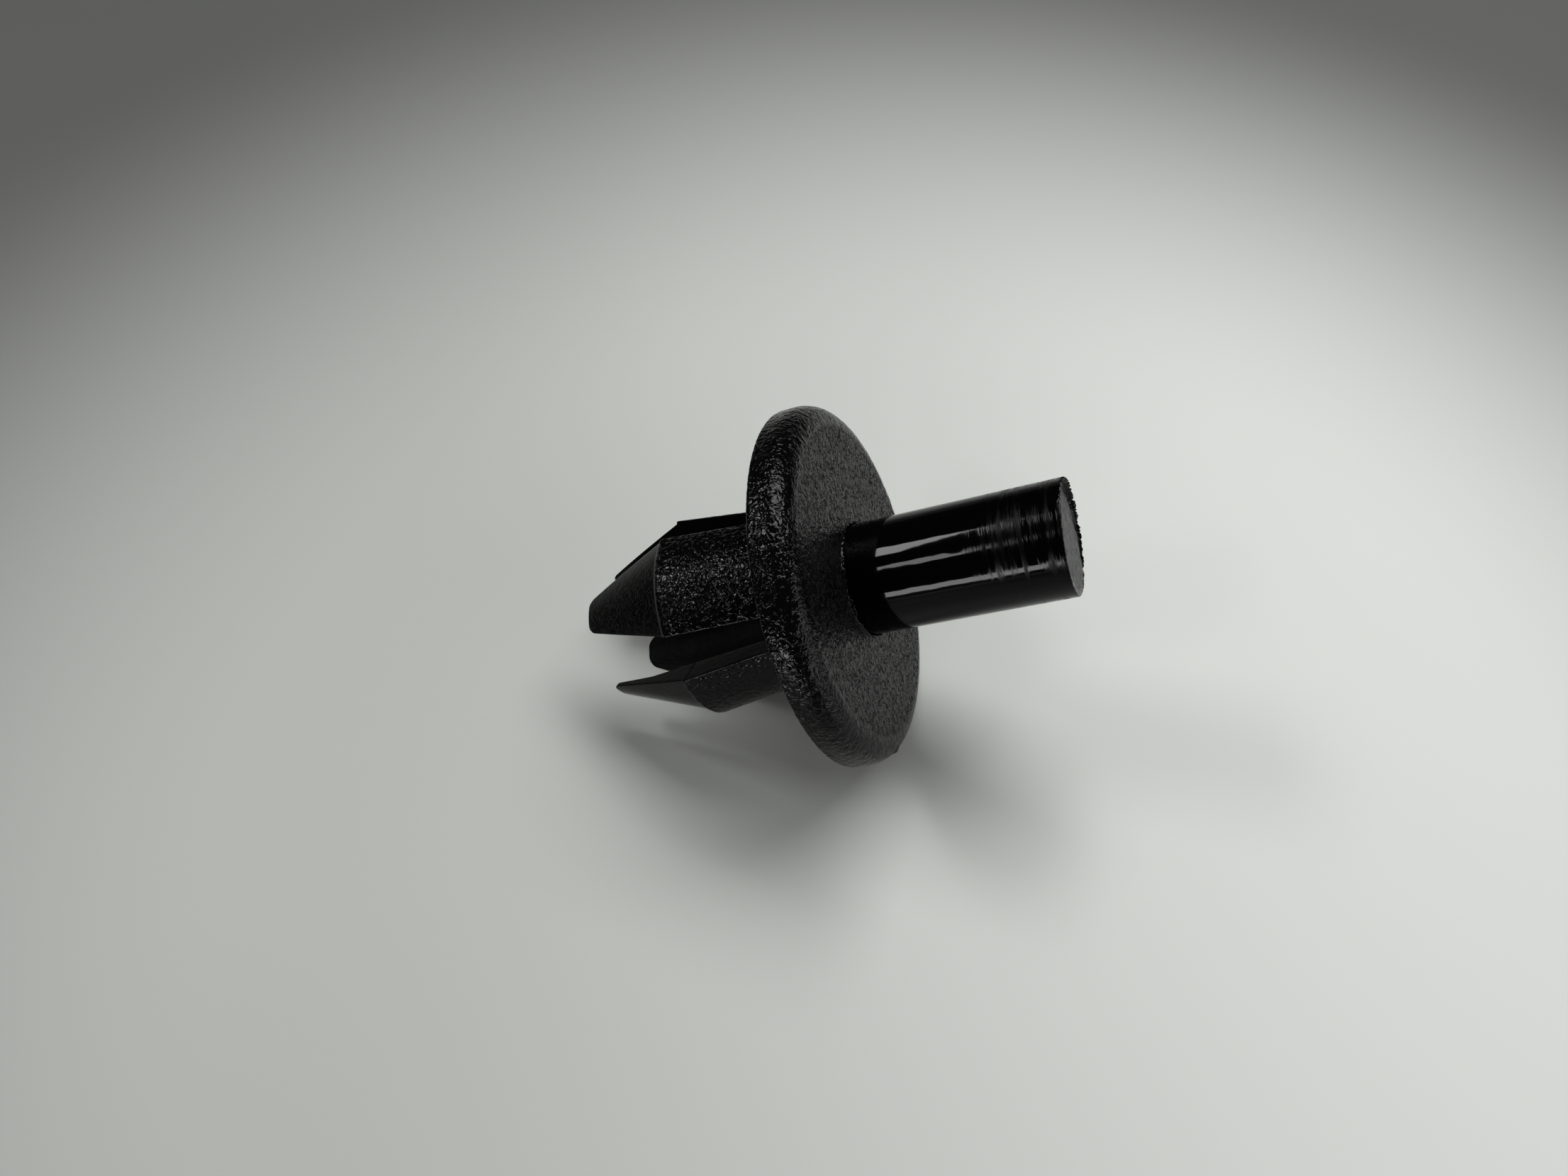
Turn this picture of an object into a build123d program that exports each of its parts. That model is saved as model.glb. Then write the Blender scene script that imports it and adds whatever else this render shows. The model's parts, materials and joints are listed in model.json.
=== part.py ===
from build123d import *
from math import radians, tan
import os

# Plastic push rivet: a one-piece body (flange, neck and four split legs) and the drive pin that
# stands proud of its flange until it is pushed home.  Millimetres and degrees.
#
# The rivet is drawn along its own axis, local Z: the front face of the flange is at z = 0, the pin
# stands on the +z side and the legs point to -z.  It is then laid down as it comes to rest on a
# table, on the rim of the flange and the tip of one leg, with the pin rising towards +X.
# The finished origin is the middle of the bounding box, on the table.

# ---- flange -----------------------------------------------------------------------------------
FLANGE_DIAMETER = 15.0
FLANGE_THICKNESS = 1.63
FLANGE_ROUNDING = 1.0         # soft front edge
LIP_WALL = 0.08               # torn edge of the thin web that joined pin and flange
LIP_HEIGHT = 0.10

# ---- neck and legs ----------------------------------------------------------------------------
NECK_DIAMETER = 7.6           # passes through an 8 mm panel hole
NECK_LENGTH = 1.15            # whole ring under the flange, before the slots begin
NECK_ROOT_ROUNDING = 0.3      # where the neck meets the back of the flange
LEG_ROOT_STEP = 0.12          # the legs start this much inside the neck
SHOULDER_DIAMETER = 8.55      # widest place of the spread legs
SHOULDER_DEPTH = 7.5          # from the front face to the shoulder
SHOULDER_STEP = 0.12          # the textured shank stands proud of the nose
TIP_DIAMETER = 5.3
TIP_DEPTH = 11.7              # from the front face to the tips of the legs
TIP_WALL = 0.22               # what is left of a leg's thickness at its tip
BORE_STEP = 0.1               # the way between the legs is this much wider than the neck's bore
LEG_COUNT = 4
SLOT_WIDTH_AT_NECK = 1.3
SLOT_WIDTH_AT_TIP = 2.6       # the legs stand a little apart, so the slots widen
LEG_CORNER_ROUNDING = 0.35    # corners of each leg's blunt tip
LEGS_ASIDE = 3.0              # the legs lean together to one side of the axis by this angle,
LEGS_ASIDE_TOWARDS = -118.0   # in this direction, measured about the axis from the lowest leg

# ---- pin --------------------------------------------------------------------------------------
PIN_DIAMETER = 4.62
PIN_STAND = 8.75              # how far the pin stands proud of the flange: also its travel
PIN_CUT_SLANT = 4.0           # the outer end was cut a little askew,
PIN_CUT_LONG_SIDE = 115.0     # with its long side here, measured about the axis from the lowest leg
PIN_SEATED = 0.8              # length of pin already inside the flange
PIN_LEAD_CHAMFER = 0.5        # eases the inner end between the legs
PIN_EDGE_BREAK = 0.12         # worn rim of the cut outer end
PIN_CLEARANCE = 0.05          # radial, in the bore

# ---- rest -------------------------------------------------------------------------------------
REST_ROLL = 8.5               # the lowest leg lies this far round from straight down
REST_FLAT = 0.12              # rim and lowest leg are flattened by this much where they lie

# ---- derived ----------------------------------------------------------------------------------
FLANGE_RADIUS = FLANGE_DIAMETER / 2
NECK_RADIUS = NECK_DIAMETER / 2
SHOULDER_RADIUS = SHOULDER_DIAMETER / 2
TIP_RADIUS = TIP_DIAMETER / 2
PIN_RADIUS = PIN_DIAMETER / 2
BORE_RADIUS = PIN_RADIUS + PIN_CLEARANCE
SLOT_TOP = -(FLANGE_THICKNESS + NECK_LENGTH)
LEG_ROOT = SLOT_TOP + NECK_LENGTH / 2
PIN_REACH = PIN_SEATED + PIN_STAND        # depth of the pin's inner end when driven home
QUARTER_TURN = 360 / LEG_COUNT


def turned(*corners):
    """A solid turned about the local Z axis from an outline of (radius, height) corners."""
    outline = Polyline(*[(r, 0, z) for r, z in corners], close=True)
    return revolve(make_face(outline), Axis.Z)


def flange():
    back = -FLANGE_THICKNESS
    disc = turned((0, 0), (FLANGE_RADIUS, 0), (FLANGE_RADIUS, back), (0, back))
    front_edge = disc.edges().filter_by(GeomType.CIRCLE).sort_by(Axis.Z)[-1]
    return fillet(front_edge, min(FLANGE_ROUNDING, 0.9 * FLANGE_THICKNESS))


def flange_and_neck():
    joined = flange() + turned((0, 0), (NECK_RADIUS, 0), (NECK_RADIUS, SLOT_TOP), (0, SLOT_TOP))
    circles = joined.edges().filter_by(GeomType.CIRCLE)
    root = circles.filter_by(lambda edge: edge.radius == NECK_RADIUS).sort_by(Axis.Z)[-1]
    return fillet(root, min(NECK_ROOT_ROUNDING, 0.4 * NECK_LENGTH))


def web_lip():
    """The thin raised ring that the torn web leaves round the mouth of the bore."""
    foot = BORE_RADIUS + LIP_WALL
    return turned(
        (0, -LIP_HEIGHT), (foot, -LIP_HEIGHT), (foot, 0), (BORE_RADIUS, LIP_HEIGHT), (0, LIP_HEIGHT)
    )


def leg_blank():
    """Widening shank with its shoulder and the tapered nose, hollow but not yet split."""
    root = NECK_RADIUS - LEG_ROOT_STEP
    inner_root = BORE_RADIUS + BORE_STEP
    # opens just enough for the legs to stay clear of the driven pin, though they lean to one side
    inner_reach = inner_root + tan(radians(LEGS_ASIDE)) * (PIN_REACH + SLOT_TOP)
    return turned(
        (inner_root, LEG_ROOT),
        (root, LEG_ROOT),
        (root, SLOT_TOP),
        (SHOULDER_RADIUS, -SHOULDER_DEPTH),
        (SHOULDER_RADIUS - SHOULDER_STEP, -SHOULDER_DEPTH),
        (TIP_RADIUS, -TIP_DEPTH),
        (TIP_RADIUS - TIP_WALL, -TIP_DEPTH),
        (inner_reach, -PIN_REACH),
        (inner_root, SLOT_TOP),
    )


def slots():
    """Wedges that part the legs, narrow at the neck, wide at the tips and rounded into them."""
    near, far, wide = SLOT_WIDTH_AT_NECK / 2, SLOT_WIDTH_AT_TIP / 2, SHOULDER_RADIUS
    foot = -TIP_DEPTH - NECK_LENGTH
    half = [(near, SLOT_TOP), (far, -TIP_DEPTH), (wide, -TIP_DEPTH), (wide, foot)]
    corners = half + [(-x, z) for x, z in reversed(half)]
    outline = make_face(Polyline(*[(x, 0, z) for x, z in corners], close=True))
    mouth = outline.vertices().group_by(Axis.Z)[1].sort_by(Axis.X)[1:3]
    outline = fillet(mouth, LEG_CORNER_ROUNDING)
    wedge = extrude(outline, amount=SHOULDER_DIAMETER, dir=(0, 1, 0))
    return [Rot(0, 0, QUARTER_TURN * (turn + 0.5)) * wedge for turn in range(LEG_COUNT)]


def tilted(direction, angle, height):
    """Tips the local -Z end over by angle, towards a direction about Z, hinged at a height."""
    return (
        Pos(0, 0, height) * Rot(0, 0, direction) * Rot(0, -angle, 0)
        * Rot(0, 0, -direction) * Pos(0, 0, -height)
    )


def legs():
    """The four legs, leaning together to one side about the end of the neck."""
    return tilted(LEGS_ASIDE_TOWARDS, LEGS_ASIDE, SLOT_TOP) * (leg_blank() - slots())


def bore():
    """Through the flange and neck."""
    return turned(
        (0, LIP_HEIGHT), (BORE_RADIUS, LIP_HEIGHT), (BORE_RADIUS, SLOT_TOP), (0, SLOT_TOP)
    )


def rivet_body():
    return flange_and_neck() + web_lip() - bore() + legs()


def push_pin():
    pin = Pos(0, 0, -PIN_SEATED) * Cylinder(
        PIN_RADIUS, PIN_SEATED + PIN_STAND, align=(Align.CENTER, Align.CENTER, Align.MIN)
    )
    pin = chamfer(pin.edges().filter_by(GeomType.CIRCLE).sort_by(Axis.Z)[0], PIN_LEAD_CHAMFER)
    # the cut leans about the long side, which alone keeps the full length
    offcut = Pos(-PIN_RADIUS, 0, PIN_STAND) * Rot(0, PIN_CUT_SLANT, 0) * Pos(PIN_RADIUS, 0, 0) * Box(
        2 * PIN_DIAMETER, 2 * PIN_DIAMETER, PIN_DIAMETER, align=(Align.CENTER, Align.CENTER, Align.MIN)
    )
    pin -= Rot(0, 0, PIN_CUT_LONG_SIDE + 180) * offcut
    return fillet(pin.faces().sort_by(Axis.Z)[-1].edges(), PIN_EDGE_BREAK)


def laid(lean):
    """Turns local Z to point to +X, raised from the table by the angle lean."""
    return Rot(0, 90 - lean, 0) * Rot(0, 0, REST_ROLL)


def resting_lean():
    """The lean at which the rim of the flange and the lowest leg tip reach the table together."""
    shallow, steep = 0.0, 60.0
    flange_alone, legs_alone = flange(), legs()
    while steep - shallow > 0.001:
        lean = (shallow + steep) / 2
        legs_low = (laid(lean) * legs_alone).bounding_box().min.Z
        flange_low = (laid(lean) * flange_alone).bounding_box().min.Z
        shallow, steep = (lean, steep) if legs_low > flange_low else (shallow, lean)
    return lean


def flattened(body):
    """Takes off the lowest sliver of a laid-down body, so that it stays where it lies."""
    low = body.bounding_box().min.Z
    reach = FLANGE_DIAMETER + TIP_DEPTH
    return body - Pos(0, 0, low + REST_FLAT) * Box(
        2 * reach, 2 * reach, reach, align=(Align.CENTER, Align.CENTER, Align.MAX)
    )


LEAN = resting_lean()
nodes = {"rivet_body": flattened(laid(LEAN) * rivet_body()), "push_pin": laid(LEAN) * push_pin()}
box = Compound(list(nodes.values())).bounding_box()
to_origin = Pos(-box.center().X, -box.center().Y, -box.min.Z)

os.makedirs("parts", exist_ok=True)
for name, solid in nodes.items():
    export_step(to_origin * solid, f"parts/{name}.step")

print("lean", round(LEAN, 3), "front face centre", [round(v, 4) for v in to_origin.position])
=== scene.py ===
import json
from math import asin, atan2, cos, hypot, pi, radians, sin, sqrt, tan

import bmesh
import bpy
import numpy as np
from mathutils import Matrix, Vector, noise

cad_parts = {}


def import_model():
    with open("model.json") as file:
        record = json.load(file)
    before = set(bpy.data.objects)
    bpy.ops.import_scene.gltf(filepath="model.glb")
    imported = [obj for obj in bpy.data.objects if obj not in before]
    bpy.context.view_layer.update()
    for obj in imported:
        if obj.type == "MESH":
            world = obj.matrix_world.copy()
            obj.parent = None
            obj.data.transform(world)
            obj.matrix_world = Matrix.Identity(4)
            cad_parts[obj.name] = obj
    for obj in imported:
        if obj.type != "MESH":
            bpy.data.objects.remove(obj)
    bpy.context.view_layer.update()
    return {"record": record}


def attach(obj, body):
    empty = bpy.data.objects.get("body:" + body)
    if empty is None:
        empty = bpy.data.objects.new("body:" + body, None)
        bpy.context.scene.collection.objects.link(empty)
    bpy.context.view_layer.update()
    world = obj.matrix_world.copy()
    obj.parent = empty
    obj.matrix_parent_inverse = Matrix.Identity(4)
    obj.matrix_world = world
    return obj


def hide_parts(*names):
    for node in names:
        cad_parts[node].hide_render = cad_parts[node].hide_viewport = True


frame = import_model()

# Plastic push rivet: a black nylon body with a spark-eroded mould texture, and a glossy drive pin
# that was cut off roughly.
#
# Pieces are shaped in millimetres along the rivet's own axis: the front face of the flange is at
# z = 0, the pin stands on the +z side, the legs point to -z and +x is the side of the lowest leg.
# ROW carries that to the frame's metres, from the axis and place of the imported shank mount.

MM = 0.001                                       # metres

# ---- body, as in the CAD ----------------------------------------------------------------------
FLANGE_RADIUS = 7.5
FLANGE_THICKNESS = 1.63
FLANGE_ROUNDING = 1.0
LIP_WALL = 0.08
LIP_HEIGHT = 0.10
NECK_RADIUS = 3.8
NECK_LENGTH = 1.15
NECK_ROOT_ROUNDING = 0.3
LEG_ROOT_STEP = 0.12
SHOULDER_RADIUS = 4.275
SHOULDER_DEPTH = 7.5
SHOULDER_STEP = 0.12
TIP_RADIUS = 2.65
TIP_DEPTH = 11.7
TIP_WALL = 0.22
BORE_STEP = 0.1
LEG_COUNT = 4
SLOT_HALF_AT_NECK = 0.65
SLOT_HALF_AT_TIP = 1.3
LEG_CORNER_ROUNDING = 0.35
LEGS_ASIDE = radians(3.0)
LEGS_ASIDE_TOWARDS = radians(-118.0)
REST_ROLL = radians(8.5)

# ---- pin, as in the CAD -----------------------------------------------------------------------
PIN_RADIUS = 2.31
PIN_CLEARANCE = 0.05
PIN_STAND = 8.75
PIN_CUT_SLANT = radians(4.0)
PIN_CUT_LONG_SIDE = radians(115.0)
PIN_SEATED = 0.8
PIN_LEAD_CHAMFER = 0.5

BORE_RADIUS = PIN_RADIUS + PIN_CLEARANCE
PIN_REACH = PIN_SEATED + PIN_STAND
SLOT_TOP = FLANGE_THICKNESS + NECK_LENGTH        # depth at which the slots begin

# ---- detail that only shows here --------------------------------------------------------------
SKIN = 0.012                                     # textured faces lie this far inside the CAD's
GRAIN_SIZE = 0.2                                 # of the texture that the mesh itself carries
GRAIN_PEAK, GRAIN_PIT = 0.007, 0.016             # how far it stands out and sinks in
GRAIN_GAIN = 1.5                                 # stretches the noise, which seldom nears 1
EDGE = 0.07                                      # rounding of the legs' edges,
EDGE_SHARE = 0.3                                 # which takes at most this share of a thin side
BACK_EDGE = 0.08                                 # rounding at the back of the flange's rim
TIP_ROUNDING = 0.09                              # at the blunt ends of the legs

# ---- camera -----------------------------------------------------------------------------------
CAMERA_TARGET = Vector((-1.756, -0.367, 7.0))    # millimetres, in the row frame
CAMERA_DISTANCE = 46.676
CAMERA_AZIMUTH = radians(0.947)
CAMERA_ELEVATION = radians(59.919)
CAMERA_ROLL = radians(1.362)
CAMERA_LENS, CAMERA_SENSOR = 26.04, 36
CAMERA_CLIP = (0.001, 10)                        # metres


def row_matrix():
    """Rivet millimetres to row metres."""
    shank = next(m for m in frame["record"]["mounts"] if m["name"] == "shank")
    axis = -Vector(shank["axis"])
    depth = (FLANGE_THICKNESS + NECK_LENGTH / 2) * MM
    face_centre = Vector(shank["pos_m"]) + axis * depth
    from_upright = atan2(axis.x, axis.z)
    turn = Matrix.Rotation(from_upright, 4, "Y") @ Matrix.Rotation(REST_ROLL, 4, "Z")
    return Matrix.Translation(face_centre) @ turn @ Matrix.Scale(MM, 4)


ROW = row_matrix()


# ---- mesh helpers -----------------------------------------------------------------------------
def ring(radius, z, count):
    """Points round the axis."""
    around = np.linspace(0, 2 * pi, count, endpoint=False)
    return np.stack([radius * np.cos(around), radius * np.sin(around), np.full(count, z)], 1)


def arc(centre, radius, start, end, count):
    """Points of (radius, height) on an arc of a turned outline, both ends included."""
    turn = np.radians(np.linspace(start, end, count))
    return [(centre[0] + radius * cos(t), centre[1] + radius * sin(t)) for t in turn]


def line(a, b, pitch):
    """Points from a up to, but without, b."""
    a, b = np.array(a, float), np.array(b, float)
    count = max(1, round(np.linalg.norm(b - a) / pitch))
    return [tuple(a + (b - a) * k / count) for k in range(count)]


def bend(a, corner, b, count):
    """Points that turn a corner from a to b, without the two ends."""
    a, corner, b = (np.array(p, float) for p in (a, corner, b))
    shares = [k / (count + 1) for k in range(1, count + 1)]
    return [tuple(a * (1 - t) ** 2 + corner * 2 * t * (1 - t) + b * t * t) for t in shares]


def quarter(into, radius):
    """How far a rounded edge has fallen back, this far into its rounding."""
    into = min(max(into, 0), radius)
    return radius - sqrt(radius**2 - into**2)


def angle_off(point, where):
    """Angle about the axis between a point and a direction, in radians and never negative."""
    return abs((atan2(point[1], point[0]) - where + pi) % (2 * pi) - pi)


def layered_noise(place, layers):
    """Noise of several sizes, added up; each layer has its scale and its share."""
    return sum(share * noise.noise(place * scale) for scale, share in layers)


class Shell:
    """Collects rings of points, how textured each point is, and the faces between the rings."""

    def __init__(self):
        self.points, self.grain, self.faces = [], [], []

    def add(self, points, grain=0.0):
        first = len(self.points)
        self.points.extend(tuple(p) for p in points)
        self.grain.extend(np.broadcast_to(grain, len(points)))
        return list(range(first, len(self.points)))

    def loft(self, rings, grains):
        """Closed rings with as many points each, with faces from one to the next."""
        loops = [self.add(points, grain) for points, grain in zip(rings, grains)]
        for low, high in zip(loops, loops[1:]):
            for k in range(len(low)):
                m = (k + 1) % len(low)
                self.faces.append((low[k], low[m], high[m], high[k]))
        return loops

    def thin_out(self, many, few):
        """Faces from a ring to one with half as many points."""
        for k in range(len(few)):
            m, ahead = 2 * k, (2 * k + 2) % len(many)
            nearer, next_one = few[k], few[(k + 1) % len(few)]
            self.faces.append((many[m], many[m + 1], nearer))
            self.faces.append((many[m + 1], many[ahead], next_one, nearer))

    def cap(self, loop, point, grain=0.0):
        """Closes a ring with a fan about a point."""
        hub = self.add([point], grain)[0]
        for k in range(len(loop)):
            self.faces.append((loop[k], loop[(k + 1) % len(loop)], hub))

    def mesh(self, name, fill=()):
        """The mesh, with flat faces filled in between the loops given, and normals outwards."""
        mesh = bpy.data.meshes.new(name)
        mesh.from_pydata(self.points, [], self.faces)
        textured = mesh.attributes.new("grain", "FLOAT", "POINT")
        textured.data.foreach_set("value", np.array(self.grain, np.float32))
        bm = bmesh.new()
        bm.from_mesh(mesh)
        bm.verts.ensure_lookup_table()
        if fill:
            sides = [pair for loop in fill for pair in zip(loop, loop[1:] + loop[:1])]
            edges = [bm.edges.get((bm.verts[a], bm.verts[b])) for a, b in sides]
            bmesh.ops.triangle_fill(bm, edges=edges, use_beauty=True, normal=(0, 0, -1))
        bmesh.ops.recalc_face_normals(bm, faces=bm.faces)
        bm.to_mesh(mesh)
        bm.free()
        return mesh


def roughen(mesh):
    """Raises and sinks the textured points along their normals."""
    amounts = np.zeros(len(mesh.vertices), np.float32)
    mesh.attributes["grain"].data.foreach_get("value", amounts)
    normals = [v.normal.copy() for v in mesh.vertices]
    for vertex, normal, amount in zip(mesh.vertices, normals, amounts):
        if amount > 0:
            place = vertex.co / GRAIN_SIZE
            height = max(-1, min(1, GRAIN_GAIN * noise.noise(place)))
            reach = GRAIN_PEAK if height > 0 else GRAIN_PIT
            vertex.co += normal * (height * reach * float(amount))


def mark(mesh, chosen):
    """Gives the second material to the faces whose points are all chosen."""
    for polygon in mesh.polygons:
        polygon.material_index = int(all(chosen[v] for v in polygon.vertices))


def add_to_scene(name, data):
    """An object that shows the data given."""
    node = bpy.data.objects.new(name, data)
    bpy.context.scene.collection.objects.link(node)
    return node


def make_piece(name, mesh, materials, body, node):
    """Puts a mesh made in rivet millimetres into the row's frame, as a piece of the object."""
    mesh.transform(ROW)
    for vertex in mesh.vertices:
        vertex.co.z = max(0, vertex.co.z)        # flat where it lies
    for material in materials:
        mesh.materials.append(material)
    mesh.shade_smooth()
    piece = add_to_scene(name, mesh)
    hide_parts(node)
    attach(piece, body)


# ---- rivet body -------------------------------------------------------------------------------
AROUND = 640                                     # points round the flange's rim
PITCH = 0.075                                    # spacing of points where the texture shows,
NOSE_PITCH = 0.13                                # on the legs' noses,
WIDE_PITCH = 0.2                                 # on surfaces that are turned away,
BORE_PITCH = 0.3                                 # down the bore
LIP_PITCH = 0.034                                # and over the torn lip
LIP_CREST = 0.03                                 # width of the lip's top
MOUTH_DEPTH = 0.2                                # deeper than this the bore's wall is dull and painted dark as shade
LEG_OUTER, LEG_SIDE, LEG_INNER = 56, 5, 7        # steps along the sides of a leg's section
LEAST_SQUARE = 0.001                             # where a slot is as wide as the leg's section
STEP_DROP = 0.01                                 # depth in which the shoulder steps down
TIP_TURN = 1.35                                  # radians of the tip's rounding, then a flat end
LEAN_RAMP = 0.5                                  # length below the neck in which the lean sets in
THIN_OUT_RADIUS = 4.6                            # inside it the flange needs half the points

# Each point carries how textured it is: 1 on rim and shank, 0 where it is smooth, and
FACE_GRAIN = 0.8                                 # on the flange's face, duller and pitted,
NOSE_GRAIN = 0.05                                # on the noses, smoother than the shank,
SHADED_WALL = -1.0                                      # and on the walls of bore and slots, dull and painted dark as shade


def flange_outlines():
    """Turned outline of flange and neck, in three stretches of (radius, height, texture): from the
    slots' top up the bore and over the torn lip, then out over the rim, then back to the neck."""
    rim, back = FLANGE_RADIUS - SKIN, -FLANGE_THICKNESS + SKIN
    foot = BORE_RADIUS + LIP_WALL
    crest = BORE_RADIUS + LIP_CREST
    smooth = line((BORE_RADIUS, -SLOT_TOP), (BORE_RADIUS, 0), BORE_PITCH)
    smooth += line((BORE_RADIUS, 0), (BORE_RADIUS, LIP_HEIGHT), LIP_PITCH)
    smooth += line((BORE_RADIUS, LIP_HEIGHT), (crest, LIP_HEIGHT), LIP_CREST / 2)
    smooth += line((crest, LIP_HEIGHT), (foot, -SKIN), LIP_PITCH)
    inner = line((foot, -SKIN), (THIN_OUT_RADIUS, -SKIN), PITCH)
    face_edge = FLANGE_RADIUS - FLANGE_ROUNDING
    outer = line((THIN_OUT_RADIUS + PITCH, -SKIN), (face_edge, -SKIN), PITCH)
    rounding = arc((face_edge, -FLANGE_ROUNDING), FLANGE_ROUNDING - SKIN, 90, 0, count=22)
    rounding += line((rim, -FLANGE_ROUNDING - PITCH), (rim, back + BACK_EDGE), PITCH)
    rounding += arc((rim - BACK_EDGE, back + BACK_EDGE), BACK_EDGE, 0, -90, count=4)
    root = NECK_RADIUS + NECK_ROOT_ROUNDING
    rear = line((rim - BACK_EDGE - PITCH, back), (root, back), WIDE_PITCH)
    neck = arc((root, back - NECK_ROOT_ROUNDING), NECK_ROOT_ROUNDING, 90, 180, count=5)
    neck_start = back - NECK_ROOT_ROUNDING - WIDE_PITCH
    neck += line((NECK_RADIUS, neck_start), (NECK_RADIUS, -SLOT_TOP), WIDE_PITCH)
    neck += [(NECK_RADIUS, -SLOT_TOP)]
    # the bore below its mouth takes the walls painted dark as shade
    return (
        [(*p, 0 if p[1] > -MOUTH_DEPTH else SHADED_WALL) for p in smooth]
        + [(*p, FACE_GRAIN) for p in inner],
        [(*p, FACE_GRAIN) for p in outer] + [(*p, 1) for p in rounding],
        [(*p, 1) for p in rear] + [(*p, 0) for p in neck],
    )


BURR_AT, BURR_Z = radians(299), -0.4             # place of a burr on the flange's edge
BURR_HIGH, BURR_RISE = 0.1, 0.05                 # how far it stands out, and how far forwards
BURR_WIDE, BURR_LONG = 0.2, 0.25                 # how far it runs each way, round and along

TEARS = ((3.1, 1), (21, 0.9))                    # noise scales, and how much of each
TEAR_MEAN, TEAR_SWING = 0.7, 0.9                 # shares of the lip's height,
TEAR_LOWEST, TEAR_HIGHEST = 0.1, 1.5             # which stays between these
WEB_SPIKES = (                                   # degrees round the axis, height, degrees wide
    (113, 0.26, 3.0),
    (300, 0.1, 3.0),
    (222, 0.12, 2.5),
)


def with_burr(points):
    """Pulls a small burr outwards from the rounded edge of the flange."""
    for point in points:
        radius = hypot(point[0], point[1])
        off = angle_off(point, BURR_AT) * radius / BURR_WIDE
        if radius > FLANGE_RADIUS - FLANGE_ROUNDING:
            share = max(0, 1 - off) * max(0, 1 - abs(point[2] - BURR_Z) / BURR_LONG)
            point[:2] *= 1 + BURR_HIGH * share / radius
            point[2] += BURR_RISE * share
    return points


def torn_lip(points):
    """Makes the lip left by the torn web ragged, with a few spikes."""
    for point in points:
        if point[2] > 0:
            turn = atan2(point[1], point[0])
            around = Vector((cos(turn), sin(turn), 0))
            height = TEAR_MEAN + TEAR_SWING * layered_noise(around, TEARS)
            share = point[2] / LIP_HEIGHT
            point[2] *= min(TEAR_HIGHEST, max(TEAR_LOWEST, height))
            for where, high, wide in WEB_SPIKES:
                off = angle_off(point, radians(where)) / radians(wide)
                point[2] += share * high * max(0, 1 - off)
    return points


def outer_radius(depth):
    """Outside of the legs: a widening shank, a small step down, and the tapered nose."""
    root = NECK_RADIUS - LEG_ROOT_STEP
    if depth <= SHOULDER_DEPTH:
        share = (depth - SLOT_TOP) / (SHOULDER_DEPTH - SLOT_TOP)
        widened = root + (SHOULDER_RADIUS - root) * share
        return widened - SKIN - quarter(depth - SHOULDER_DEPTH + EDGE, EDGE)
    nose = SHOULDER_RADIUS - SHOULDER_STEP
    share = (depth - SHOULDER_DEPTH) / (TIP_DEPTH - SHOULDER_DEPTH)
    tapered = nose + (TIP_RADIUS - nose) * share
    return tapered - quarter(depth - TIP_DEPTH + TIP_ROUNDING, TIP_ROUNDING)


def inner_radius(depth):
    """Inside of the legs: opens a little on the way to the seated pin, then closes to the tip."""
    root = BORE_RADIUS + BORE_STEP
    reach = root + tan(LEGS_ASIDE) * (PIN_REACH - SLOT_TOP)
    if depth <= PIN_REACH:
        return root + (reach - root) * (depth - SLOT_TOP) / (PIN_REACH - SLOT_TOP)
    share = (depth - PIN_REACH) / (TIP_DEPTH - PIN_REACH)
    closing = reach + (TIP_RADIUS - TIP_WALL - reach) * share
    return closing + quarter(depth - TIP_DEPTH + TIP_ROUNDING, TIP_ROUNDING)


def slot_half(depth):
    """Half the width of a slot, which opens round the corners of the legs' tips."""
    share = (depth - SLOT_TOP) / (TIP_DEPTH - SLOT_TOP)
    half = SLOT_HALF_AT_NECK + (SLOT_HALF_AT_TIP - SLOT_HALF_AT_NECK) * share
    return half + quarter(depth - TIP_DEPTH + LEG_CORNER_ROUNDING, LEG_CORNER_ROUNDING)


def leg_section(depth):
    """Ring of one leg at a depth, centred on +x, and how textured each of its points is."""
    outer, inner, half = outer_radius(depth), inner_radius(depth), slot_half(depth)
    along, away = np.array((cos(pi / 4), sin(pi / 4))), np.array((sin(pi / 4), -cos(pi / 4)))
    reach_out, reach_in = (sqrt(max(r**2 - half**2, LEAST_SQUARE)) for r in (outer, inner))
    out_end, in_end = (pi / 4 - asin(min(1, half / r)) for r in (outer, inner))
    edge = min(EDGE, EDGE_SHARE * (reach_out - reach_in), EDGE_SHARE * outer * out_end)

    def on_side(reach):
        return tuple(along * reach + away * half)

    def on_arc(radius, turn):
        return (radius * cos(turn), radius * sin(turn))

    start, stop = out_end - edge / outer, in_end - edge / inner
    shown = [on_arc(outer, t) for t in np.linspace(-start, start, LEG_OUTER + 1)]
    side = bend(shown[-1], on_side(reach_out), on_side(reach_out - edge), count=3)
    side += [on_side(r) for r in np.linspace(reach_out - edge, reach_in + edge, LEG_SIDE + 1)]
    side += bend(side[-1], on_side(reach_in), on_arc(inner, stop), count=2)
    hidden = [on_arc(inner, t) for t in np.linspace(stop, -stop, LEG_INNER + 1)]
    outline = shown + side + hidden + [(x, -y) for x, y in reversed(side)]
    # sides and inside of a leg take the walls painted dark as shade
    grain = np.full(len(outline), SHADED_WALL)
    grain[:len(shown)] = 1.0 if depth <= SHOULDER_DEPTH else NOSE_GRAIN
    return np.array([(x, y, -depth) for x, y in outline]), grain


def lean_aside(points, share):
    """Tips leg points to the side about the end of the neck, by a share of the full lean."""
    direction = Matrix.Rotation(LEGS_ASIDE_TOWARDS, 3, "Z")
    tip = np.array(direction @ Matrix.Rotation(-LEGS_ASIDE, 3, "Y") @ direction.inverted())
    hinge = np.array((0, 0, -SLOT_TOP))
    tipped = (points - hinge) @ tip.T + hinge
    return points + (tipped - points) * share


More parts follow.
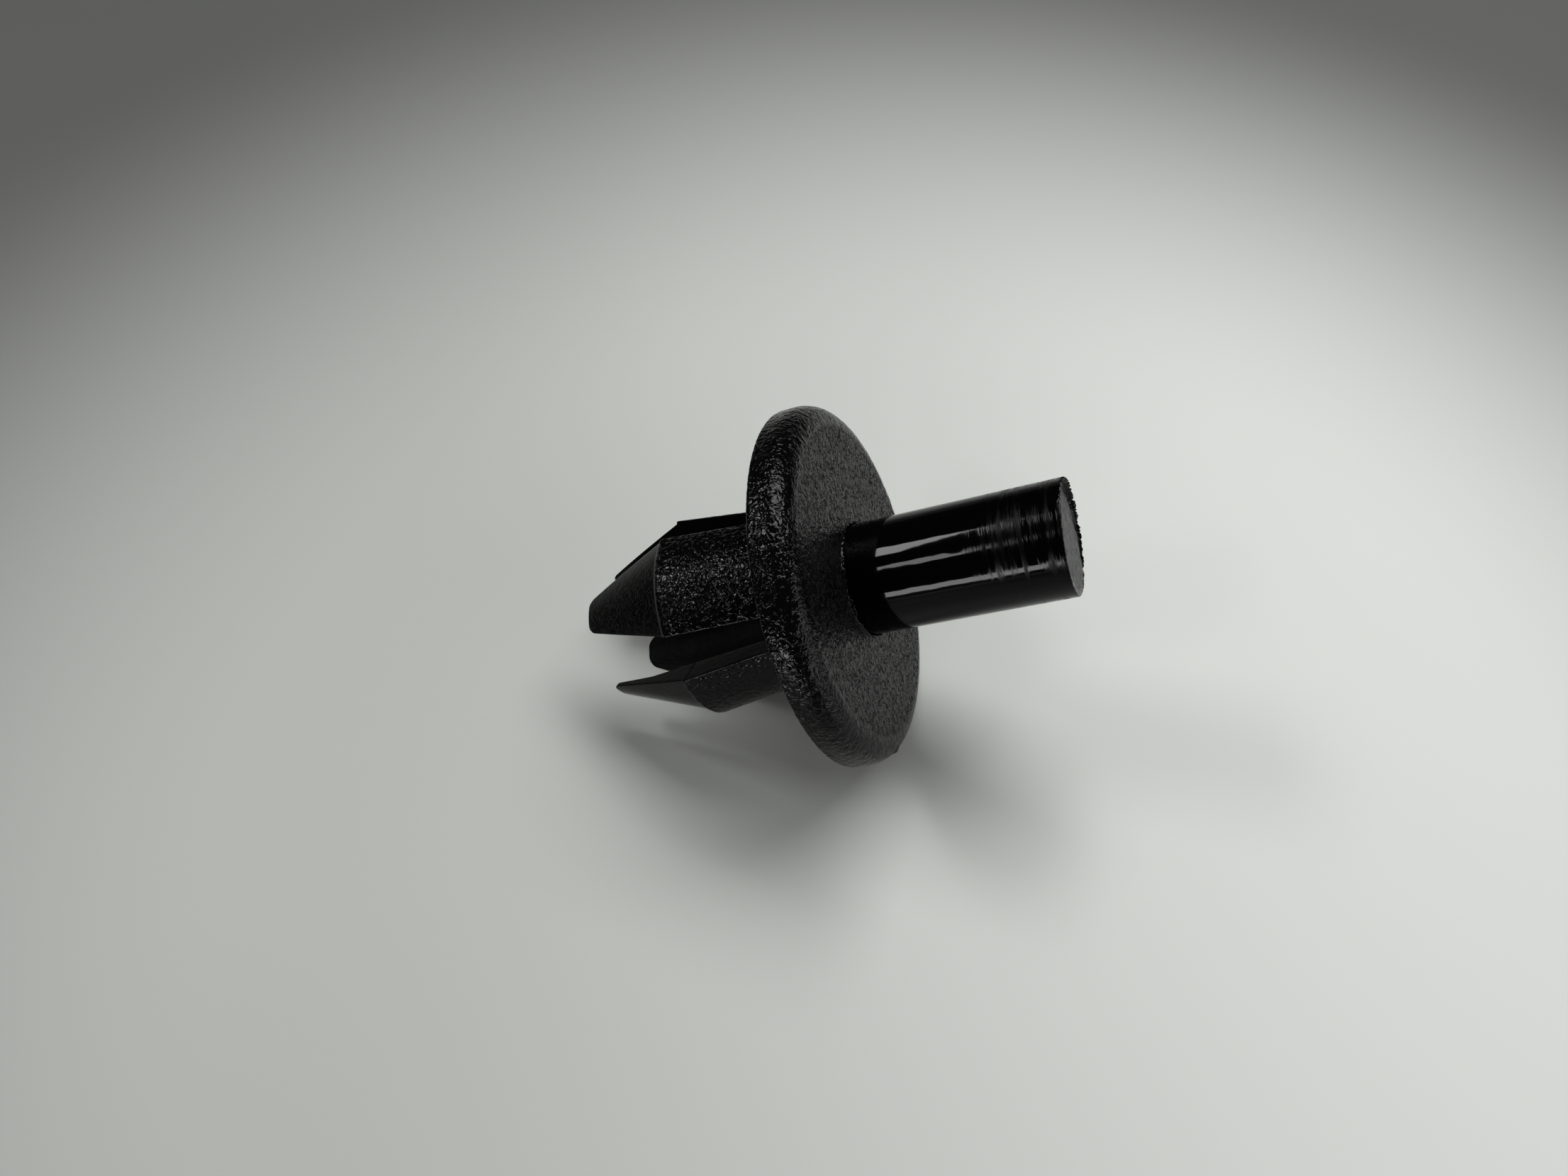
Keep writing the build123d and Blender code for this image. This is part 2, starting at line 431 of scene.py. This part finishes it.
def leg_depths():
    """Depths of a leg's rings: close together at the shoulder's step and round the tip."""
    depths = [*np.arange(SLOT_TOP, SHOULDER_DEPTH - EDGE, PITCH)]
    depths += [SHOULDER_DEPTH - EDGE * (1 - sin(t)) for t in np.linspace(0, pi / 2, 5)]
    tip = TIP_DEPTH - LEG_CORNER_ROUNDING
    depths += [*np.arange(SHOULDER_DEPTH + STEP_DROP, tip, NOSE_PITCH)]
    rounding = TIP_DEPTH - TIP_ROUNDING
    depths += [*np.linspace(tip, rounding, 8)[:-1]]
    depths += [rounding + TIP_ROUNDING * sin(t) for t in np.linspace(0, TIP_TURN, 6)]
    return depths


def rivet_body(material, wall_material):
    shell = Shell()
    turned = []
    for outline, count in zip(flange_outlines(), (AROUND // 2, AROUND, AROUND // 2)):
        rings = [with_burr(torn_lip(ring(r, z, count))) for r, z, grain in outline]
        turned.append(shell.loft(rings, [grain for r, z, grain in outline]))
    face, rim, back = turned
    shell.thin_out(rim[0], face[-1])
    shell.thin_out(rim[-1], back[0])
    openings = [face[0], back[-1]]
    for k in range(LEG_COUNT):
        spin = np.array(Matrix.Rotation(k * 2 * pi / LEG_COUNT, 3, "Z"))
        rings, grains = [], []
        for depth in leg_depths():
            section, grain = leg_section(depth)
            rings.append(lean_aside(section @ spin.T, min(1, (depth - SLOT_TOP) / LEAN_RAMP)))
            grains.append(grain if depth > SLOT_TOP else np.minimum(grain, 0))
        loops = shell.loft(rings, grains)
        openings.append(loops[0])
        shell.cap(loops[-1], rings[-1].mean(0))
    mesh = shell.mesh("rivet_body", openings)
    roughen(mesh)
    # walls inside bore and slots get the second material, painted dark as shade
    mark(mesh, [value < 0 for value in shell.grain])
    materials = (material, wall_material)
    make_piece("moulded_rivet", mesh, materials, "body", "rivet_body")


# ---- drive pin --------------------------------------------------------------------------------
PIN_AROUND = 360                                 # points round the pin
PIN_PITCH = 0.09                                 # spacing of its rings, along the wall,
LEAD_PITCH = 0.12                                # on the chamfer
END_PITCH = 0.07                                 # and on the broken end
LEAD_HUB, END_HUB = 0.3, 0.1                     # radii of the smallest rings at its two ends
CUT_ROUNDING = 0.06                              # of the rim round the broken end
CUT_BELOW = 0.02                                 # the rim lies this far below the cut,
NOTCH_NEAR, NOTCH_MORE = 0.02, 0.13              # with notches that deepen to the far side
NOTCHES = ((7, 1), (23, 0.9))                    # noise scales, and how much of each
CUT_FAR_SIDE = radians(92.0)                     # on this side a torn ridge is left standing,
CUT_DIP = 0.3                                    # because the face falls away by this much
FACE_BELOW = 0.06                                # from here below the cut on the near side
RIDGE_WIDTH = 0.12                               # from the rim's rounding inwards,
RIDGE_TOP = 0.03                                 # to its first ring,
FACE_START = 0.2                                 # to the first ring of the face
MARGIN = 0.01                                    # and past the ridge to the face's material
LUMPS = ((1.3, 1), (4.1, 0.5), (9, 0.35))        # noise scales, and how much of each
LUMP_HEIGHT = 0.04


def cut_height(x, y):
    """Height of the slanted cut above a point of the pin's section."""
    towards = x * cos(PIN_CUT_LONG_SIDE) + y * sin(PIN_CUT_LONG_SIDE)
    return PIN_STAND - tan(PIN_CUT_SLANT) * (PIN_RADIUS - towards)


def far_share(x, y):
    """0 on the near side of the pin's end, 1 on the far side."""
    return 0.5 + 0.5 * (x * cos(CUT_FAR_SIDE) + y * sin(CUT_FAR_SIDE)) / PIN_RADIUS


def torn_rim(x, y):
    """How far the rim of the cut lies below the plane of the cut: ragged on the far side."""
    around = Vector((x, y, 0)).normalized()
    notch = sum(share * abs(noise.noise(around * scale)) for scale, share in NOTCHES)
    return CUT_BELOW + (NOTCH_NEAR + NOTCH_MORE * far_share(x, y)) * min(1, notch)


def broken_face(x, y):
    """Height of the rough broken face: level with the near rim, lower towards the far side."""
    smooth = cut_height(x, y) - FACE_BELOW - CUT_DIP * far_share(x, y)**2
    return smooth + LUMP_HEIGHT * layered_noise(Vector((x, y, 0)), LUMPS)


def pin_wall():
    """Rings from the seated end over its chamfer and up to the rounding under the torn rim."""
    lead, base = PIN_RADIUS - PIN_LEAD_CHAMFER, -PIN_SEATED + PIN_LEAD_CHAMFER
    outline = [(r, -PIN_SEATED) for r in np.linspace(LEAD_HUB, lead, 6)]
    outline += line((lead, -PIN_SEATED), (PIN_RADIUS, base), LEAD_PITCH)[1:]
    rings = [ring(r, z, PIN_AROUND) for r, z in outline]
    wall = ring(PIN_RADIUS, 0, PIN_AROUND)
    top = np.array([cut_height(x, y) - torn_rim(x, y) - CUT_ROUNDING for x, y, z in wall])
    for share in np.linspace(0, 1, round((PIN_STAND - base) / PIN_PITCH)):
        level = wall.copy()
        level[:, 2] = base + (top - base) * share
        rings.append(level)
    for turn in np.linspace(0, pi / 2, 4)[1:]:
        level = ring(PIN_RADIUS - CUT_ROUNDING * (1 - cos(turn)), 0, PIN_AROUND)
        level[:, 2] = top + CUT_ROUNDING * sin(turn)
        rings.append(level)
    return rings


def pin_end(foot, rim_heights):
    """Rings from inside the torn rim down its ridge and over the broken face."""
    radii = [*np.linspace(foot - RIDGE_TOP, foot - RIDGE_WIDTH, 4)]
    radii += [*np.arange(foot - FACE_START, END_HUB, -END_PITCH)]
    rings = []
    for radius in radii:
        level = ring(radius, 0, PIN_AROUND)
        fade = max(0, 1 - (foot - radius) / RIDGE_WIDTH) ** 2
        for point, rim_height in zip(level, rim_heights):
            low = broken_face(point[0], point[1])
            point[2] = low + (rim_height - low) * fade
        rings.append(level)
    return rings


def drive_pin(material, end_material):
    wall, foot = pin_wall(), PIN_RADIUS - CUT_ROUNDING
    end = pin_end(foot, wall[-1][:, 2])
    shell = Shell()
    loops = shell.loft(wall + end, [0] * len(wall) + [1] * len(end))
    shell.cap(loops[0], (0, 0, -PIN_SEATED))
    shell.cap(loops[-1], (0, 0, broken_face(0, 0)), 1)
    mesh = shell.mesh("drive_pin")
    inside_ridge = foot - RIDGE_WIDTH - MARGIN
    mark(mesh, [v.co.xy.length < inside_ridge and v.co.z > 0 for v in mesh.vertices])
    materials = (material, end_material)
    make_piece("drive_pin", mesh, materials, "pin", "push_pin")


# ---- materials --------------------------------------------------------------------------------
class Nodes:
    """Short names for building the nodes of a material or of the world."""

    def __init__(self, owner, shader="Principled BSDF"):
        owner.use_nodes = True
        self.tree = owner.node_tree
        self.sockets = self.tree.nodes[shader].inputs

    def set(self, socket, value):
        """Sets a socket of the shader to a value that is the same all over the surface."""
        self.sockets[socket].default_value = value

    def feed(self, value, socket):
        """Drives a socket of the shader with a value that varies over the surface."""
        self.link(value, self.sockets[socket])

    def link(self, source, target):
        self.tree.links.new(source, target)

    def node(self, kind, **settings):
        node = self.tree.nodes.new(kind)
        for key, value in settings.items():
            setattr(node, key, value)
        return node

    def place(self, stretch=(1, 1, 1)):
        """Coordinates in rivet millimetres, which ride with the piece, then stretched."""
        coordinates = self.node("ShaderNodeTexCoord")
        own = self.node("ShaderNodeMapping", vector_type="TEXTURE")
        own.inputs["Location"].default_value = ROW.to_translation()
        own.inputs["Rotation"].default_value = ROW.to_euler()
        own.inputs["Scale"].default_value = (MM,) * 3
        self.link(coordinates.outputs["Object"], own.inputs["Vector"])
        shaped = self.node("ShaderNodeMapping")
        shaped.inputs["Scale"].default_value = stretch
        self.link(own.outputs["Vector"], shaped.inputs["Vector"])
        return shaped.outputs["Vector"]

    def split(self, vector):
        """The X, Y and Z of a vector, by those names."""
        node = self.node("ShaderNodeSeparateXYZ")
        self.link(vector, node.inputs[0])
        return node.outputs

    def noise(self, place, scale=1.0, detail=2.0, roughness=0.5, distortion=0.0):
        node = self.node("ShaderNodeTexNoise")
        node.inputs["Scale"].default_value = scale
        node.inputs["Detail"].default_value = detail
        node.inputs["Roughness"].default_value = roughness
        node.inputs["Distortion"].default_value = distortion
        self.link(place, node.inputs["Vector"])
        return node.outputs["Fac"]

    def spread(self, value, low, high, to_low=0.0, to_high=1.0, smooth=True):
        """Carries a value from one range to another, and no further."""
        node = self.node("ShaderNodeMapRange")
        node.interpolation_type = "SMOOTHSTEP" if smooth else "LINEAR"
        ends = {"From Min": low, "From Max": high, "To Min": to_low, "To Max": to_high}
        for key, number in ends.items():
            node.inputs[key].default_value = number
        self.link(value, node.inputs["Value"])
        return node.outputs["Result"]

    def math(self, operation, a, b):
        node = self.node("ShaderNodeMath", operation=operation)
        for socket, value in zip(node.inputs, (a, b)):
            if isinstance(value, (int, float)):
                socket.default_value = value
            else:
                self.link(value, socket)
        return node.outputs["Value"]

    def mix(self, share, first, second):
        """Blends two colours."""
        node = self.node("ShaderNodeMix", data_type="RGBA")
        self.link(share, node.inputs[0])
        for socket, colour in ((node.inputs[6], first), (node.inputs[7], second)):
            if isinstance(colour, tuple):
                socket.default_value = colour
            else:
                self.link(colour, socket)
        return node.outputs[2]

    def attribute(self, name):
        return self.node("ShaderNodeAttribute", attribute_name=name).outputs["Fac"]

    def bump(self, height, distance, strength=1.0, under=None):
        """A relief of that height in millimetres; strength may vary over the surface."""
        node = self.node("ShaderNodeBump")
        node.inputs["Distance"].default_value = distance * MM
        self.link(height, node.inputs["Height"])
        if isinstance(strength, (int, float)):
            node.inputs["Strength"].default_value = strength
        else:
            self.link(strength, node.inputs["Strength"])
        if under is not None:
            self.link(under, node.inputs["Normal"])
        return node.outputs["Normal"]


# The photo shows the plastic darker than black nylon is, so colours and gloss are far below it
TEXTURED_COLOUR, TEXTURED_GLOSS = (0.0015, 0.0015, 0.0015, 1), 0.11
POLISHED_COLOUR, POLISHED_GLOSS = (0.0008, 0.0008, 0.001, 1), 0.1
SHADE_PAINTED_GLOSS = 0.03                                # walls that nothing has polished, gloss turned down further as painted shade
BROKEN_DARK, BROKEN_LIGHT = (0.012, 0.012, 0.012, 1), (0.06, 0.06, 0.06, 1)
SMOOTH_SHARE = 0.02                              # relief left where nothing is textured
FINE_HEIGHT, PIT_HEIGHT = 0.065, 0.06            # millimetres of relief
PIT_NOISE = (0.51, 0.61)                         # noise at a pit's brim and at its floor
RIM_ROUGHNESS, FACE_ROUGHNESS, PIT_ROUGHNESS = 0.12, 0.22, 0.45
SCUFFS_FROM, SCUFFS_FULL = 4.6, 6.6              # how far out along the pin, in millimetres
SCUFF_NOISE = (0.62, 0.95)                       # noise where a scuff begins and is full
POLISHED_ROUGHNESS, SCUFFED_ROUGHNESS, DULL_ROUGHNESS = 0.05, 0.34, 0.5
RING_STRETCH = (0.35, 0.35, 4.5)                 # rings of wear round the axis,
PATCH_STRETCH = (0.6, 0.6, 0.6)                  # the patches that they come in
SCRATCH_STRETCH = (0.5, 0.5, 9)                  # and the finer scratches
PATCHES_SHARE = 0.5                              # of the patches beside the rings
SCRATCH_HEIGHT, WAVE_HEIGHT = 0.03, 0.012        # millimetres of relief
BARE_HEIGHT, BROKEN_HEIGHT = 0.03, 0.3
BROKEN_NOISE = (0.35, 0.65)                      # noise where the torn plastic is dark and light


def textured_nylon():
    """Fine relief on rim and shank; duller, with pits, on the flange's face."""
    material = bpy.data.materials.new("spark_eroded_black_nylon")
    n = Nodes(material)
    n.set("Base Color", TEXTURED_COLOUR)
    n.set("Specular IOR Level", TEXTURED_GLOSS)
    place, grain = n.place(), n.attribute("grain")
    share = n.spread(grain, 0, FACE_GRAIN, SMOOTH_SHARE, 1.0, smooth=False)
    on_face = n.math("MULTIPLY", share, n.spread(grain, FACE_GRAIN, 1.0, 1.0, 0.0, smooth=False))
    fine = n.noise(place, scale=4.7, detail=0.8, distortion=1.0)
    coarse = n.noise(place, scale=5.2, detail=1.0, distortion=1.5)
    pits = n.math("MULTIPLY", on_face, n.spread(coarse, *PIT_NOISE))
    texture = n.bump(fine, FINE_HEIGHT, share)
    n.feed(n.bump(n.math("SUBTRACT", 1.0, pits), PIT_HEIGHT, under=texture), "Normal")
    dull = n.spread(on_face, 0, 1, RIM_ROUGHNESS, FACE_ROUGHNESS, smooth=False)
    n.feed(n.math("ADD", dull, n.math("MULTIPLY", pits, PIT_ROUGHNESS)), "Roughness")
    return material


def glossy_nylon():
    """Smooth and glossy; towards the cut end it is scuffed in rings round the axis."""
    material = bpy.data.materials.new("polished_black_nylon")
    n = Nodes(material)
    n.set("Base Color", POLISHED_COLOUR)
    n.set("Specular IOR Level", POLISHED_GLOSS)
    outer = n.spread(n.split(n.place())["Z"], SCUFFS_FROM, SCUFFS_FULL)
    rings = n.noise(n.place(RING_STRETCH), detail=3.0, roughness=0.6, distortion=0.3)
    patches = n.math("MULTIPLY", n.noise(n.place(PATCH_STRETCH)), PATCHES_SHARE)
    scuffs = n.spread(n.math("ADD", rings, patches), *SCUFF_NOISE)
    worn = n.math("MULTIPLY", outer, scuffs)
    dull = n.spread(worn, 0, 1, POLISHED_ROUGHNESS, SCUFFED_ROUGHNESS, smooth=False)
    n.feed(dull, "Roughness")
    scratches = n.noise(n.place(SCRATCH_STRETCH), detail=3.0, roughness=0.65, distortion=0.4)
    waves = n.bump(n.noise(n.place(), scale=0.9, detail=1.0), WAVE_HEIGHT)
    n.feed(n.bump(scratches, SCRATCH_HEIGHT, worn, waves), "Normal")
    return material


def dull_nylon_painted_shade():
    """Dull walls that only the mould's core pin has touched, their gloss turned down so they render
    dark: painted shade inside bore and slots.
    """
    material = bpy.data.materials.new("dull_black_nylon_painted_shade")
    n = Nodes(material)
    n.set("Base Color", TEXTURED_COLOUR)
    n.set("Specular IOR Level", SHADE_PAINTED_GLOSS)
    n.set("Roughness", DULL_ROUGHNESS)
    n.feed(n.bump(n.noise(n.place(), scale=3.0), BARE_HEIGHT), "Normal")
    return material


def broken_nylon():
    """Rough broken face of the pin's cut end."""
    material = bpy.data.materials.new("broken_black_nylon")
    n = Nodes(material)
    n.set("Roughness", DULL_ROUGHNESS)
    torn = n.noise(n.place(), scale=3.0, detail=4.0, roughness=0.65)
    n.feed(n.mix(n.spread(torn, *BROKEN_NOISE), BROKEN_DARK, BROKEN_LIGHT), "Base Color")
    n.feed(n.bump(torn, BROKEN_HEIGHT), "Normal")
    return material


# ---- studio, in metres ------------------------------------------------------------------------
# The table's colour paints the light on it: a pool of light about the object, brighter to the
# right, dark beyond.
TABLE_LEFT_PAINTED_SHADE = (0.35, 0.36, 0.34, 1)        # painted light: the table's colour is brighter to the right,
TABLE_RIGHT_PAINTED_LIGHT = (0.52, 0.535, 0.51, 1)
TABLE_LEFT_TO_RIGHT = (-0.022, 0.034)            # changing between these places along X,
TABLE_FAR_PAINTED_SHADE = (0.06, 0.062, 0.058, 1)       # and painted shade beyond a painted pool of light,
PAINTED_POOL_CENTRE = (0.004, -0.01, 0)
PAINTED_POOL_EDGE = (0.028, 0.07)                        # which ends between these distances from it
TABLE_HALF = 3.0                                 # half the table's side
TABLE_ROUGHNESS = 0.6

GLOW_HEIGHTS = (0.06, 0.22)                      # the world's glow fades between these Z of a
GLOW_STRENGTHS = (0.4, 0.015)                    # direction, from and to these strengths,
GLOW_SIDE = (-0.9, -0.5)                         # and between these Y of a direction,
GLOW_SHARES = (1.0, 0.04)                        # where these shares of it are left

LAMP_DISTANCE = 0.3
LAMP_AIM = Vector((0, 0, 0.005))                 # the middle of the object
LAMPS = (                                        # azimuth, elevation, degrees filled, radiance
    ("overhead", 64, 60, 50, 21, 10.8),
    ("right_window", -20, 14, 60, 24, 3.2),
    ("left_window", 159, 43, 14, 9, 22),
    ("left_strip", 206, 45, 9, 5, 15),
    ("front_strip", 248, 8, 30, 8, 17),
)


def direction(azimuth, elevation):
    """Unit vector: azimuth 0 is +X (right), 90 is +Y (behind the object)."""
    a, e = radians(azimuth), radians(elevation)
    return Vector((cos(a) * cos(e), sin(a) * cos(e), sin(e)))


def softbox(name, azimuth, elevation, wide, high, radiance):
    """Area lamp that faces the object; wide and high are the angles it fills, in degrees."""
    lamp = bpy.data.lights.new(name, "AREA")
    lamp.shape = "RECTANGLE"
    lamp.size = 2 * LAMP_DISTANCE * tan(radians(wide / 2))
    lamp.size_y = 2 * LAMP_DISTANCE * tan(radians(high / 2))
    lamp.energy = radiance * pi * lamp.size * lamp.size_y
    node = add_to_scene(name, lamp)
    towards = direction(azimuth, elevation)
    node.location = towards * LAMP_DISTANCE + LAMP_AIM
    node.rotation_mode = "QUATERNION"
    node.rotation_quaternion = towards.to_track_quat("Z", "Y")


def floor():
    """Large pale table whose colour paints a pool of light about the object, brighter to the right,
    with painted shade beyond it as in a dim room.
    """
    material = bpy.data.materials.new("pale_table_painted_light_pool")
    n = Nodes(material)
    place = n.node("ShaderNodeTexCoord").outputs["Object"]
    from_middle = n.node("ShaderNodeVectorMath", operation="DISTANCE")
    from_middle.inputs[1].default_value = PAINTED_POOL_CENTRE
    n.link(place, from_middle.inputs[0])
    # painted light: brighter to the right and inside the pool, painted shade outside it
    rightwards = n.spread(n.split(place)["X"], *TABLE_LEFT_TO_RIGHT)
    near = n.mix(rightwards, TABLE_LEFT_PAINTED_SHADE, TABLE_RIGHT_PAINTED_LIGHT)
    outside = n.spread(from_middle.outputs["Value"], *PAINTED_POOL_EDGE)
    n.feed(n.mix(outside, near, TABLE_FAR_PAINTED_SHADE), "Base Color")
    n.set("Roughness", TABLE_ROUGHNESS)
    corners = [(x * TABLE_HALF, y * TABLE_HALF, 0) for x, y in ((-1, -1), (1, -1), (1, 1), (-1, 1))]
    mesh = bpy.data.meshes.new("floor")
    mesh.from_pydata(corners, [], [(0, 1, 2, 3)])
    mesh.materials.append(material)
    add_to_scene("floor", mesh)


def world():
    """A dim room with a pale glow low down on the camera's side of the object."""
    sky = bpy.data.worlds.new("studio")
    n = Nodes(sky, "Background")
    towards = n.split(n.node("ShaderNodeTexCoord").outputs["Generated"])
    glow = n.spread(towards["Z"], *GLOW_HEIGHTS, *GLOW_STRENGTHS, smooth=False)
    side = n.spread(towards["Y"], *GLOW_SIDE, *GLOW_SHARES, smooth=False)
    n.feed(n.math("MULTIPLY", glow, side), "Strength")
    n.set("Color", (1, 1, 1, 1))
    bpy.context.scene.world = sky


def camera():
    lens = bpy.data.cameras.new("camera")
    lens.lens, lens.sensor_width = CAMERA_LENS, CAMERA_SENSOR
    lens.clip_start, lens.clip_end = CAMERA_CLIP
    node = add_to_scene("camera", lens)
    a, e = CAMERA_AZIMUTH, CAMERA_ELEVATION
    back = Vector((sin(a) * cos(e), -cos(a) * cos(e), sin(e)))
    node.location = (CAMERA_TARGET + back * CAMERA_DISTANCE) * MM
    node.rotation_mode = "QUATERNION"
    roll = Matrix.Rotation(CAMERA_ROLL, 3, "Z").to_quaternion()
    node.rotation_quaternion = (-back).to_track_quat("-Z", "Y") @ roll
    bpy.context.scene.camera = node


# ---- the scene --------------------------------------------------------------------------------
bpy.context.scene.view_settings.view_transform = "Standard"
camera()
world()
floor()
for lamp_settings in LAMPS:
    softbox(*lamp_settings)

rivet_body(textured_nylon(), dull_nylon_painted_shade())
drive_pin(glossy_nylon(), broken_nylon())
